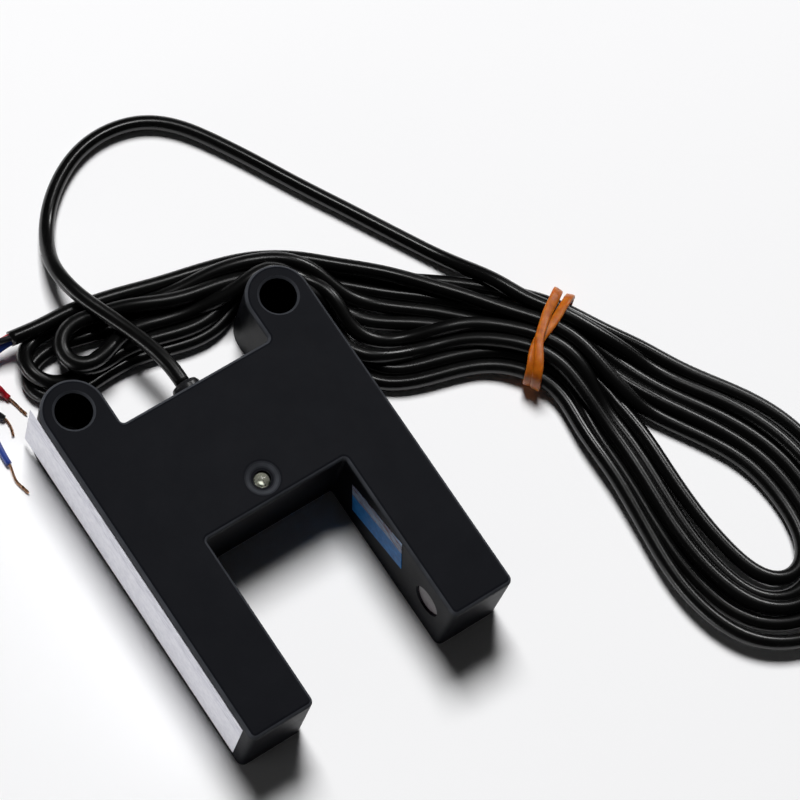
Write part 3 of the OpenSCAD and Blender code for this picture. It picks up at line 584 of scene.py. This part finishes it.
class Paint:
    """Builds one material: its nodes, by what they do, and their links to the shader."""

    def __init__(self, name, **sockets):
        self.material = bpy.data.materials.new(name)
        self.material.use_nodes = True
        self.nodes = self.material.node_tree.nodes
        self.shader = self.nodes["Principled BSDF"]
        for key, value in sockets.items():
            self.shader.inputs[key.replace("_", " ")].default_value = value

    def node(self, kind, links=(), **values):
        """A new node, with links to its inputs, and values for its settings and inputs."""
        made = self.nodes.new(kind)
        for key, value in values.items():
            if hasattr(made, key):
                setattr(made, key, value)
            else:
                made.inputs[key.replace("_", " ")].default_value = value
        for key, source in dict(links).items():
            self.link(source, made.inputs[key])
        return made

    def link(self, source, target):
        if isinstance(source, bpy.types.Node):
            source = source.outputs[0]
        self.material.node_tree.links.new(source, target)

    def place(self):
        return self.node("ShaderNodeTexCoord").outputs["Object"]

    def noise(self, per_mm, detail=3.0, rough=0.55, stretch=None):
        place = self.place()
        if stretch:
            place = self.node("ShaderNodeMapping", {"Vector": place}, Scale=stretch).outputs[0]
        made = self.node("ShaderNodeTexNoise", {"Vector": place}, Scale=per_mm / MM,
                         Detail=detail, Roughness=rough)
        return made.outputs["Fac"]

    def span(self, source, low, high, from_low=0.3, from_high=0.7):
        """The source, spread from one range of values to another. Noise keeps to 0.3 to 0.7."""
        made = self.node("ShaderNodeMapRange", {"Value": source})
        names = ("From Min", "From Max", "To Min", "To Max")
        for key, value in zip(names, (from_low, from_high, low, high)):
            made.inputs[key].default_value = value
        return made.outputs[0]

    def ramp(self, source, *stops):
        made = self.node("ShaderNodeValToRGB", {"Fac": source})
        while len(made.color_ramp.elements) < len(stops):
            made.color_ramp.elements.new(0.5)
        for element, (at, colour) in zip(made.color_ramp.elements, stops):
            element.position = at
            element.color = linear(*colour)
        return made.outputs["Color"]

    def mix(self, factor, first, second):
        made = self.node("ShaderNodeMix", {"Factor": factor}, data_type="RGBA")
        # Inputs 6 and 7 and output 2 are the mix node's colours
        self.link(first, made.inputs[6])
        self.link(second, made.inputs[7])
        return made.outputs[2]

    def bump(self, height, distance, strength=1.0, normal=None):
        made = self.node("ShaderNodeBump", {"Height": height}, Distance=distance * MM,
                         Strength=strength)
        if normal is not None:
            self.link(normal, made.inputs["Normal"])
        return made.outputs[0]

    def finish(self, **links):
        for key, source in links.items():
            self.link(source, self.shader.inputs[key.replace("_", " ")])
        return self.material


WHITE, BLACK = (255, 255, 255), (0, 0, 0)


def moulded(name, dark, pale, rough, grain=2.2, depth=0.012, ior=1.49, wear_and_rim_highlight=None):
    """Moulded plastic: faint mottling, a fine spark-eroded grain and patches of uneven shine.

    Where a paler colour is given, the rounded edges and the lamp's sloping dish are painted in it
    with a little noise: a painted highlight.
    """
    paint = Paint(name, IOR=ior)
    mottle = paint.noise(0.12, 4)
    fine = paint.noise(grain, 2)
    colour = paint.ramp(mottle, (0.3, dark), (0.7, pale))
    # Painted highlight: surfaces that lean away from upright, which are the rounded edges and the
    # lamp's dish, take the paler colour
    if wear_and_rim_highlight:
        normal = paint.node("ShaderNodeNewGeometry").outputs["Normal"]
        upright = paint.node("ShaderNodeSeparateXYZ", {"Vector": normal}).outputs["Z"]
        painted_highlight_mask = paint.ramp(upright, (0.0, BLACK), (0.35, WHITE), (0.9, WHITE), (0.975, BLACK))
        painted_rim_highlight = paint.ramp(paint.noise(0.3, 3), (0.3, wear_and_rim_highlight), (0.7, tuple(0.8 * v for v in wear_and_rim_highlight)))
        colour = paint.mix(painted_highlight_mask, colour, painted_rim_highlight)
    shine = paint.span(paint.noise(0.25, 5), rough - 0.02, rough + 0.02)
    return paint.finish(Base_Color=colour, Roughness=shine, Normal=paint.bump(fine, depth))


def jacket(name, dark, pale, rough):
    """Extruded PVC: faint streaks, small dents from winding and uneven shine."""
    paint = Paint(name, IOR=1.5)
    colour = paint.ramp(paint.noise(0.35, 3), (0.3, dark), (0.7, pale))
    shine = paint.span(paint.noise(0.03, 2), rough - 0.06, rough + 0.12)
    dents = paint.bump(paint.noise(0.06, 1), 0.25, 0.12)
    fine = paint.bump(paint.noise(1.6, 1), 0.002, 1.0, dents)
    return paint.finish(Base_Color=colour, Roughness=shine, Normal=fine)


def rubber(name, dark, pale, rough):
    """Amber rubber that lets some light in, with streaks from stretching and uneven shine."""
    paint = Paint(name, IOR=1.5, Subsurface_Weight=0.35, Subsurface_Scale=0.0015)
    colour = paint.ramp(paint.noise(0.7, 4), (0.3, dark), (0.7, pale))
    shine = paint.span(paint.noise(0.9, 4), rough - 0.08, rough + 0.12)
    streaks = paint.bump(paint.noise(1.1, 2), 0.06, 0.6)
    return paint.finish(Base_Color=colour, Roughness=shine, Normal=streaks)


def metal(name, dark, pale, rough):
    """Bare metal, a little mottled and dented."""
    paint = Paint(name, Metallic=1.0)
    colour = paint.ramp(paint.noise(1.5, 3), (0.3, dark), (0.7, pale))
    shine = paint.span(paint.noise(2.0, 3), rough - 0.08, rough + 0.1)
    return paint.finish(Base_Color=colour, Roughness=shine,
                        Normal=paint.bump(paint.noise(4.0, 2), 0.01))


def marked_label(name, field, band, marks, across, middle, half, edge, rough=0.5):
    """Printed film: a plain field, and from the share edge up a band with short scuffed marks.

    across is the direction over the label, middle its middle along it, and half its half height.
    """
    paint = Paint(name, IOR=1.3)
    height = paint.node("ShaderNodeVectorMath", {"Vector": paint.place()}, operation="DOT_PRODUCT")
    height.inputs[1].default_value = tuple(v / (half * MM) for v in across)
    share = paint.span(height.outputs["Value"], 0.0, 1.0, middle / half - 1, middle / half + 1)
    mottle = paint.noise(0.9, 4)
    streaks = paint.noise(1.0, 3, 0.6, (0.35, 0.35, 2.2))
    wavy = paint.node("ShaderNodeMath", {0: share, 1: paint.span(streaks, -0.03, 0.03)},
                      operation="ADD").outputs[0]
    plain = paint.ramp(mottle, (0.35, field[0]), (0.65, field[1]))
    wear_and_rim_highlight = paint.ramp(streaks, (0.44, band[0]), (0.5, band[1]), (0.56, marks))
    colour = paint.mix(paint.span(wavy, 0.0, 1.0, edge - 0.02, edge + 0.02), plain, wear_and_rim_highlight)
    shine = paint.span(paint.noise(0.6, 4), rough - 0.05, rough + 0.08)
    return paint.finish(Base_Color=colour, Roughness=shine,
                        Normal=paint.bump(paint.noise(2.5, 2), 0.008))


def film(name, dark, pale, rough):
    """Plain film: even colour with a faint grain and slight ripples."""
    paint = Paint(name, IOR=1.5)
    colour = paint.ramp(paint.noise(0.9, 4), (0.35, dark), (0.65, pale))
    shine = paint.span(paint.noise(0.6, 4), rough - 0.05, rough + 0.08)
    ripple = paint.bump(paint.noise(0.15, 2), 0.05, 0.3)
    return paint.finish(Base_Color=colour, Roughness=shine,
                        Normal=paint.bump(paint.noise(2.5, 2), 0.008, 1.0, ripple))


def clear(name, tint, rough=0.08, transmission=1.0):
    """Clear plastic with a tint and slight waves."""
    paint = Paint(name, IOR=1.5, Transmission_Weight=transmission)
    shine = paint.span(paint.noise(0.5, 3), rough, rough + 0.08)
    pale = tuple(min(255, v + 6) for v in tint)
    colour = paint.ramp(paint.noise(0.4, 2), (0.3, tint), (0.7, pale))
    return paint.finish(Base_Color=colour, Roughness=shine,
                        Normal=paint.bump(paint.noise(0.8, 2), 0.01))


# The slot's label is tilted: the direction up across it, and how far up along that its middle is
SLOT_LABEL_UP = (0, math.sin(math.radians(15)), math.cos(math.radians(15)))
SLOT_LABEL_MIDDLE = -14.2 * SLOT_LABEL_UP[1] + 10.3 * SLOT_LABEL_UP[2]

LOOKS = {
    # The black plastic's paler colour is a painted highlight on its rounded edges and the lamp's
    # dish
    "black_plastic": (moulded, dict(dark=(17, 18, 22), pale=(20, 21, 25), rough=0.4, ior=1.12,
                                    wear_and_rim_highlight=(62, 64, 69))),
    "black_rubber": (moulded, dict(dark=(20, 20, 22), pale=(27, 27, 29), rough=0.32, grain=1.4,
                                   depth=0.02)),
    "clear_lens": (clear, dict(tint=(214, 216, 196), rough=0.06, transmission=0.78)),
    "white_plastic": (moulded, dict(dark=(208, 206, 198), pale=(222, 220, 212), rough=0.45)),
    "dark_lens": (moulded, dict(dark=(44, 34, 40), pale=(58, 44, 52), rough=0.2, grain=0.6,
                                depth=0.004)),
    "blue_lens": (clear, dict(tint=(150, 190, 235))),
    "green_board": (moulded, dict(dark=(22, 92, 52), pale=(34, 112, 64), rough=0.35)),
    "chip_black": (moulded, dict(dark=(30, 30, 32), pale=(40, 40, 42), rough=0.55)),
    "capacitor_sleeve": (film, dict(dark=(32, 40, 62), pale=(40, 50, 76), rough=0.3)),
    "ceramic_tan": (moulded, dict(dark=(168, 132, 92), pale=(186, 150, 108), rough=0.5)),
    "solder": (metal, dict(dark=(170, 172, 176), pale=(205, 206, 210), rough=0.3)),
    "black_jacket": (jacket, dict(dark=(5, 5, 5), pale=(8, 8, 8), rough=0.25)),
    "red_insulation": (jacket, dict(dark=(150, 16, 30), pale=(178, 26, 40), rough=0.32)),
    "black_insulation": (jacket, dict(dark=(16, 16, 20), pale=(24, 24, 28), rough=0.32)),
    "blue_insulation": (jacket, dict(dark=(26, 44, 110), pale=(38, 60, 132), rough=0.32)),
    "silver_label": (marked_label, dict(
        field=((222, 222, 230), (236, 236, 242)), band=((228, 228, 236), (220, 220, 228)),
        marks=(202, 202, 212), across=(0, 0, 1), middle=8.75, half=7.3, edge=0.7, rough=0.42)),
    "blue_label": (marked_label, dict(
        field=((24, 106, 178), (40, 130, 204)), band=((146, 168, 198), (172, 190, 212)),
        marks=(124, 104, 122), across=SLOT_LABEL_UP, middle=SLOT_LABEL_MIDDLE, half=4.3,
        edge=0.62)),
    "amber_rubber": (rubber, dict(dark=(152, 74, 8), pale=(190, 106, 24), rough=0.36)),
    "bare_copper": (metal, dict(dark=(160, 112, 80), pale=(206, 164, 130), rough=0.3)),
}
MATERIALS = {slot: make(slot, **look) for slot, (make, look) in LOOKS.items()}

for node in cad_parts.values():
    slot = node.data.materials[0].name.split(".")[0]
    node.data.materials[0] = MATERIALS[slot]
for piece, slot in own_pieces:
    piece.data.materials.append(MATERIALS[slot])


# ---- Floor and light ----

def make_floor():
    mesh = bpy.data.meshes.new("floor")
    mesh.from_pydata([(-3, -3, 0), (3, -3, 0), (3, 3, 0), (-3, 3, 0)], [], [(0, 1, 2, 3)])
    floor = bpy.data.objects.new("floor", mesh)
    bpy.context.scene.collection.objects.link(floor)
    paint = Paint("floor", Roughness=0.9, Specular_IOR_Level=0.1)
    cloudy = paint.ramp(paint.noise(0.002, 2), (0.3, (247, 247, 248)), (0.7, (249, 249, 250)))
    mesh.materials.append(paint.finish(Base_Color=cloudy))


def lamp(name, azimuth, elevation, away, size, power, aim=(0, 0), diffuse=True, glossy=True):
    """A lamp that shines on the point aim of the floor.

    The azimuth goes from +X to +Y, and all lengths are in metres.
    """
    a, e = math.radians(azimuth), math.radians(elevation)
    way = Vector((math.cos(a) * math.cos(e), math.sin(a) * math.cos(e), math.sin(e)))
    light = bpy.data.lights.new(name, "AREA")
    light.shape = "RECTANGLE"
    light.size, light.size_y = size
    light.energy = power
    thing = bpy.data.objects.new(name, light)
    thing.location = Vector((*aim, 0)) + way * away
    thing.rotation_euler = way.to_track_quat("Z", "Y").to_euler()
    thing.visible_diffuse = diffuse
    thing.visible_glossy = glossy
    bpy.context.scene.collection.objects.link(thing)


def make_world(level):
    world = bpy.data.worlds.new("world")
    world.use_nodes = True
    background = world.node_tree.nodes["Background"]
    background.inputs["Color"].default_value = (1, 1, 1, 1)
    background.inputs["Strength"].default_value = level
    bpy.context.scene.world = world


make_floor()
make_world(0.012)
# The big lamp behind the ears lights the floor and casts the shadows
lamp("main", azimuth=72, elevation=58, away=2.7, size=(0.96, 0.96), power=85,
     aim=(0.03, -0.01), glossy=False)
# A long lamp close to the floor lights the silver label and the right leg's inner wall
lamp("wash", azimuth=176, elevation=3, away=0.8, size=(0.9, 0.08), power=2.45, aim=(-0.05, 0))
# Two small lamps only draw highlights, along the cable and on the housing's rims
lamp("sheen", azimuth=38, elevation=68, away=0.5, size=(0.09, 0.09), power=0.36, diffuse=False)
lamp("rim", azimuth=15, elevation=36, away=0.6, size=(0.12, 0.12), power=0.8, diffuse=False)

bpy.context.scene.view_settings.view_transform = "Standard"
